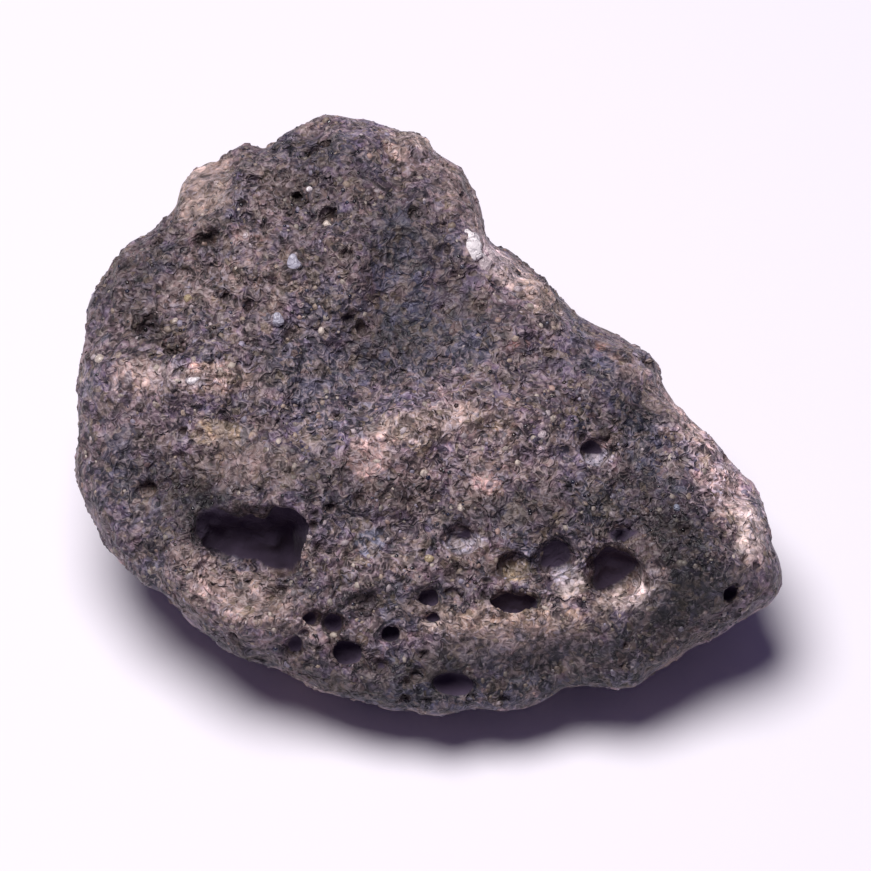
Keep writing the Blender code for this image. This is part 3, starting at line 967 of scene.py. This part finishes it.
# Grains that stand out of the surface. Radius is the smallest and the largest, sunk the share under the
# surface, and shy how much they keep off the patches
grains = {
    "crumbs": {
        "seed": 21,
        "count": 6500,
        "radius": (0.20, 0.50),
        "sunk": 0.70,
        "flatness": 0.5,
        "shy": 0.0,
        "shades": (0.65, 1.4),
    },
    "minerals": {
        "seed": 22,
        "count": 1900,
        "radius": (0.17, 0.40),
        "sunk": 0.76,
        "flatness": 0.7,
        "shy": 0.6,
        "shades": (0.4, 0.95),
    },
    "beads": {
        "seed": 23,
        "count": 1500,
        "radius": (0.10, 0.24),
        "sunk": 0.68,
        "flatness": 0.8,
        "shy": 1.5,
        "shades": (0.4, 0.95),
    },
}
mineralTints = (
    "cream",
    "cream",
    "beige",
    "pinkWhite",
    "pinkBeige",
    "beige",
    "lobe",
    "taupe",
    "lilac",
)
beadTints = ("charcoal", "navy", "bark", "charcoal", "slate")
spread = {
    "calm": 0.8,  # how much the grains keep off the calm parts
    "bubbleShade": 2.0,  # and off the painted shade in the bubbles
    "foot": (0.6, 1.2),  # they start above the foot
    "clouds": 3.5,  # in mm, where they lie thick
    "cloudEdge": (-0.3, 0.4),
    "between": 0.35,  # how thick they lie between the clouds
    "slim": (0.6, 1.0),
    "lean": 0.5,  # in radians
}


def thickCrumb(place):
    # More crumb in some clouds than in others, and none at the foot
    cloud = smoothStep(*spread["cloudEdge"], noise.noise(place / spread["clouds"]))
    return smoothStep(*spread["foot"], place.z) * (spread["between"] + cloud)


def scatter(shape, surface):
    # Draws faces of the stone, larger ones more often, and gives a spot on each
    draw = random.Random(shape["seed"])
    mesh = surface.data
    calm = mesh.attributes["calm"].data
    bubbleShade = mesh.attributes["bubbleShade"].data
    clast = mesh.attributes["clast"].data
    weights = []
    for polygon in mesh.polygons:
        corner = polygon.vertices[0]
        taken = spread["calm"] * calm[corner].value + spread["bubbleShade"] * bubbleShade[corner].value
        taken += shape["shy"] * clast[corner].color[3]
        bare = max(0.0, 1 - taken)
        weights.append(polygon.area * thickCrumb(polygon.center / mm) * bare)
    smallest, largest = shape["radius"]
    for polygon in draw.choices(mesh.polygons, weights=weights, k=shape["count"]):
        radius = (smallest + (largest - smallest) * draw.random() ** 2) * mm
        turn = Vector([draw.gauss(0, 1) for _ in range(3)]).normalized()
        upright = polygon.normal.to_track_quat("Z", "Y").to_matrix()
        spin = Matrix.Rotation(draw.uniform(0, math.tau), 3, "Z")
        lean = Matrix.Rotation(draw.uniform(-spread["lean"], spread["lean"]), 3, turn)
        slim = draw.uniform(*spread["slim"])
        size = Matrix.Diagonal((radius, radius * slim, radius * shape["flatness"]))
        middle = polygon.center + polygon.normal * radius * shape["flatness"] * (1 - 2 * shape["sunk"])
        matrix = Matrix.Translation(middle) @ (lean @ upright @ spin @ size).to_4x4()
        yield draw, polygon.vertices[0], matrix


def repeatBall(name, matrices, material):
    # One mesh of many small balls, each with its own matrix
    bm = bmesh.new()
    bmesh.ops.create_icosphere(bm, subdivisions=1, radius=1)
    ball = bpy.data.meshes.new("ball")
    bm.to_mesh(ball)
    bm.clear()
    for matrix in matrices:
        copy = ball.copy()
        copy.transform(matrix)
        bm.from_mesh(copy)
        bpy.data.meshes.remove(copy)
    return newObject(name, bm, material), len(ball.vertices)


def setMarks(piece, kind, name, values, corners):
    # One value for each ball, written to all of its corners
    layer = piece.data.attributes.new(name, kind, "POINT")
    key = "value" if kind == "FLOAT" else "color"
    for index, item in enumerate(layer.data):
        setattr(item, key, values[index // corners])


def buildCrumbs(surface, material):
    # Lumps of the melt itself, which take the marks of the place they sit on
    source = {name: surface.data.attributes[name].data for name in ("toneAndShading", "hollow", "clast")}
    matrices, tonesAndShading, hollows, clastColors = [], [], [], []
    for draw, near, matrix in scatter(grains["crumbs"], surface):
        matrices.append(matrix)
        tonesAndShading.append(source["toneAndShading"][near].value * draw.uniform(*grains["crumbs"]["shades"]))
        hollows.append(source["hollow"][near].value)
        clastColors.append(tuple(source["clast"][near].color))
    piece, corners = repeatBall("crumbs", matrices, material)
    setMarks(piece, "FLOAT", "toneAndShading", tonesAndShading, corners)
    setMarks(piece, "FLOAT", "hollow", hollows, corners)
    setMarks(piece, "FLOAT_COLOR", "clast", clastColors, corners)
    return piece


def buildGrains(name, surface, tintNames, material):
    # Grains are duller in the darker parts of the stone
    toneAndShading = surface.data.attributes["toneAndShading"].data
    matrices, colors = [], []
    for draw, near, matrix in scatter(grains[name], surface):
        matrices.append(matrix)
        dull = min(1.0, toneAndShading[near].value / stone["toneAndShading"])
        tint = Vector(tints[draw.choice(tintNames)])
        colors.append((*(tint * dull * draw.uniform(*grains[name]["shades"])), 1))
    piece, corners = repeatBall(name, matrices, material)
    setMarks(piece, "FLOAT_COLOR", "tint", colors, corners)
    return piece


# The finish of the grains that have their own tint
grainLook = {
    "size": 0.8,  # of the streaks, in mm
    "streaks": 0.7,
    "streakColor": (0.46, 0.40, 0.44, 1),
    "bump": 0.7,
    "mineral": (0.5, 0.5, 0.1),  # roughness, specular, and the depth of the chips in mm
    "bead": (0.18, 0.6, 0.1),
    "crystal": (0.35, 0.6, 0.4),
}


def makeGrainMaterial(name, crumb):
    # The grain's own tint, streaked and chipped a little like the melt round it
    roughness, specular, chips = grainLook[name]
    material, tree, shader, place = newMaterial(name)
    fine = useGroup(tree, crumb, {"Vector": place, "Size": grainLook["size"]})
    color = addNode(tree, "Attribute", attribute_name="tint").outputs["Color"]
    sunk = mixColors(tree, 1.0, color, grainLook["streakColor"], "MULTIPLY")
    color = mixColors(tree, times(tree, fine["Dark"], grainLook["streaks"]), color, sunk)
    tree.links.new(color, shader.inputs["Base Color"])
    inputs = {"Height": fine["Height"], "Strength": grainLook["bump"], "Distance": chips * mm}
    tree.links.new(addNode(tree, "Bump", inputs).outputs[0], shader.inputs["Normal"])
    shader.inputs["Roughness"].default_value = roughness
    shader.inputs["Specular IOR Level"].default_value = specular
    return material


# Single grains and crystals
crystal = {
    "sunk": 0.4,  # the share of the half thickness
    "lumps": 0.4,  # how uneven they are
    "lumpSpacing": 0.42,  # in mm
}
# x, y, half length, half width, half thickness, turn, tint
crystals = (
    (3.15, 12.0, 0.74, 1.15, 0.38, 14, "white"),  # the white one in the notch, in four shards
    (3.80, 11.0, 0.42, 0.70, 0.30, 28, "white"),
    (3.9, 10.7, 0.60, 0.80, 0.25, 40, "pinkWhite"),
    (4.4, 11.4, 0.36, 0.70, 0.30, 32, "pinkWhite"),
    (-16.5, 2.4, 0.50, 0.26, 0.3, 10, "white"),
    (-17.9, 6.6, 0.30, 0.28, 0.25, 0, "cream"),
    (-12.9, 12.7, 0.30, 0.26, 0.25, 30, "pinkWhite"),
    (-10.6, 6.7, 0.42, 0.55, 0.22, 0, "blueGlass"),
    (-9.5, 10.7, 0.50, 0.62, 0.25, 15, "blueGlass"),
    (-7.2, 13.4, 0.45, 0.40, 0.3, 0, "cream"),
    (-8.4, 16.1, 0.24, 0.22, 0.2, 0, "white"),
    (-23.2, 3.9, 0.38, 0.36, 0.3, 0, "cream"),
    (-17.0, 8.2, 0.35, 0.32, 0.3, 0, "yellowBeige"),
    (8.0, -1.4, 0.34, 0.30, 0.25, 0, "pinkWhite"),
    (-7.5, 5.9, 0.26, 0.36, 0.22, 0, "cream"),
    (-0.3, -4.1, 0.28, 0.26, 0.25, 0, "cream"),
    (2.3, -6.6, 0.24, 0.38, 0.25, 0, "cream"),
    (0.1, -10.1, 0.32, 0.30, 0.25, 0, "yellowBeige"),
    (6.4, 8.9, 0.34, 0.28, 0.25, 0, "pinkWhite"),
    (17.5, -6.6, 0.26, 0.30, 0.2, 20, "blueGrey"),
    (-19.2, 0.8, 0.26, 0.24, 0.22, 0, "cream"),
)


def buildCrystals(surface, material):
    bm = bmesh.new()
    layer = bm.verts.layers.float_color.new("tint")
    ground = BVHTree.FromObject(surface, bpy.context.evaluated_depsgraph_get())
    for x, y, halfLength, halfWidth, halfThickness, turn, tint in crystals:
        spot, _ = landOn(ground, x, y)
        turned = faceToRow.to_3x3() @ Matrix.Rotation(math.radians(turn), 3, "Z")
        size = Matrix.Diagonal((halfLength * mm, halfWidth * mm, halfThickness * mm))
        middle = spot - faceOut * crystal["sunk"] * halfThickness * mm
        matrix = Matrix.Translation(middle) @ (turned @ size).to_4x4()
        made = bmesh.ops.create_icosphere(bm, subdivisions=3, radius=1, matrix=matrix)["verts"]
        for vert in made:
            lump = noise.noise(vert.co / (crystal["lumpSpacing"] * mm))
            vert.co += (vert.co - spot) * crystal["lumps"] * lump
            vert[layer] = (*tints[tint], 1)
    return newObject("crystals", bm, material)


addCamera()
addFloor()
addLight()
print("stage ready")
crumb = makeCrumbGroup()
meltMaterial = makeMelt(crumb)
mineralMaterial = makeGrainMaterial("mineral", crumb)
beadMaterial = makeGrainMaterial("bead", crumb)
crystalMaterial = makeGrainMaterial("crystal", crumb)
print("materials ready")
stoneSurface = buildStone(meltMaterial)
pieces = [
    stoneSurface,
    buildCrumbs(stoneSurface, meltMaterial),
    buildGrains("minerals", stoneSurface, mineralTints, mineralMaterial),
    buildGrains("beads", stoneSurface, beadTints, beadMaterial),
    buildCrystals(stoneSurface, crystalMaterial),
]
for piece in pieces:
    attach(piece, "root")
    print(piece.name, "triangles:", sum(len(polygon.vertices) - 2 for polygon in piece.data.polygons))
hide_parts("stone")
